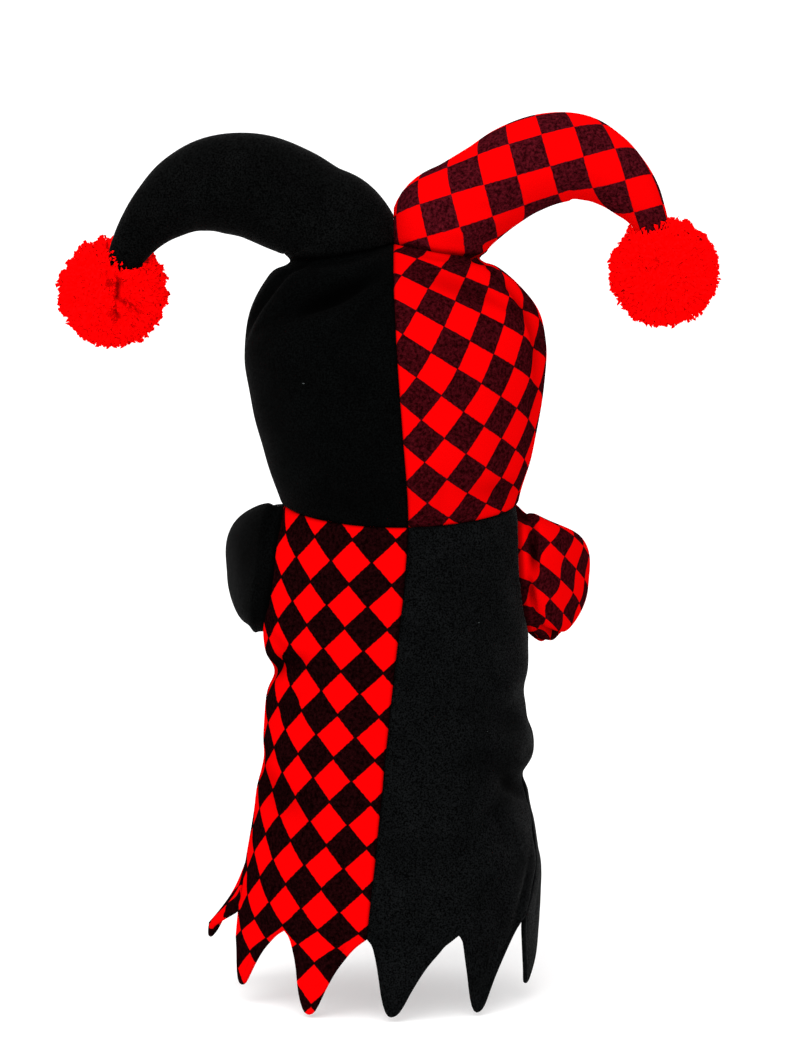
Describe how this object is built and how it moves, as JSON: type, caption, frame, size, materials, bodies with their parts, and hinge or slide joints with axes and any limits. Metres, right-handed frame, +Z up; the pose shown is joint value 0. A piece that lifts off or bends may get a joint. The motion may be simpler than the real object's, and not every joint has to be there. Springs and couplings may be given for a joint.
{
  "type": "pet clown costume",
  "caption": "Jester costume for a small dog: hood with stuffed horns and yarn pompoms, short sleeves and a pointed hem, as worn.",
  "frame": {"origin": "centre of the neck seam, where the wearer's neck holds the costume", "axes": "+Z up along the wearer's back, +Y towards the wearer's chest, +X towards the wearer's right"},
  "size_m": [0.3071, 0.1257, 0.417],
  "materials": {
    "red_check": "red and black checked knit, matt",
    "black_fleece": "black brushed fleece, matt",
    "red_yarn": "red cut yarn"
  },
  "bodies": {
    "root": {"hood_left": "black_fleece", "hood_right": "red_check", "horn_left": "black_fleece", "horn_right": "red_check", "pompom_left": "red_yarn", "pompom_right": "red_yarn", "back_left": "red_check", "back_right": "black_fleece", "front_left": "red_check", "front_right": "black_fleece", "sleeve_left": "black_fleece", "sleeve_right": "red_check"}
  },
  "joints": []
}
